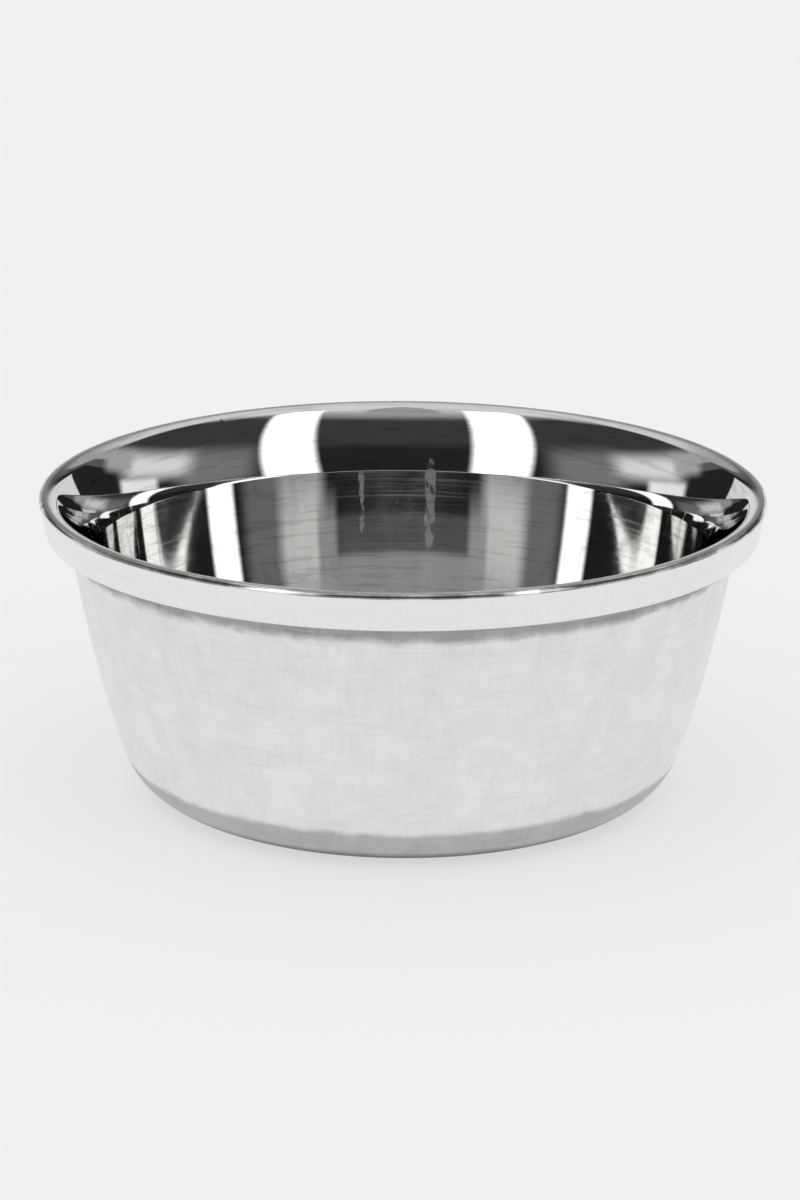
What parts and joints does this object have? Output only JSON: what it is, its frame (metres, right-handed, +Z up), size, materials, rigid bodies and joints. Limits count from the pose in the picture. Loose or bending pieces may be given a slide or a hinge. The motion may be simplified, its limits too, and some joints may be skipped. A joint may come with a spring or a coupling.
{
  "type": "shaving bowl",
  "caption": "Low round steel shaving bowl, mirror-polished inside and satin outside, with a flat-sided band round its rim.",
  "frame": {"origin": "centre of the base, on the plane the bowl stands on", "axes": "+Z up along the bowl's axis of revolution"},
  "size_m": [0.1, 0.1, 0.042],
  "materials": {
    "mirror_steel": "mirror polished inside and on the lip, satin on the outside of the band",
    "satin_steel": "fine satin, with light handling marks"
  },
  "bodies": {
    "root": {"inner_bowl": "mirror_steel", "outer_shell": "satin_steel"}
  },
  "joints": []
}
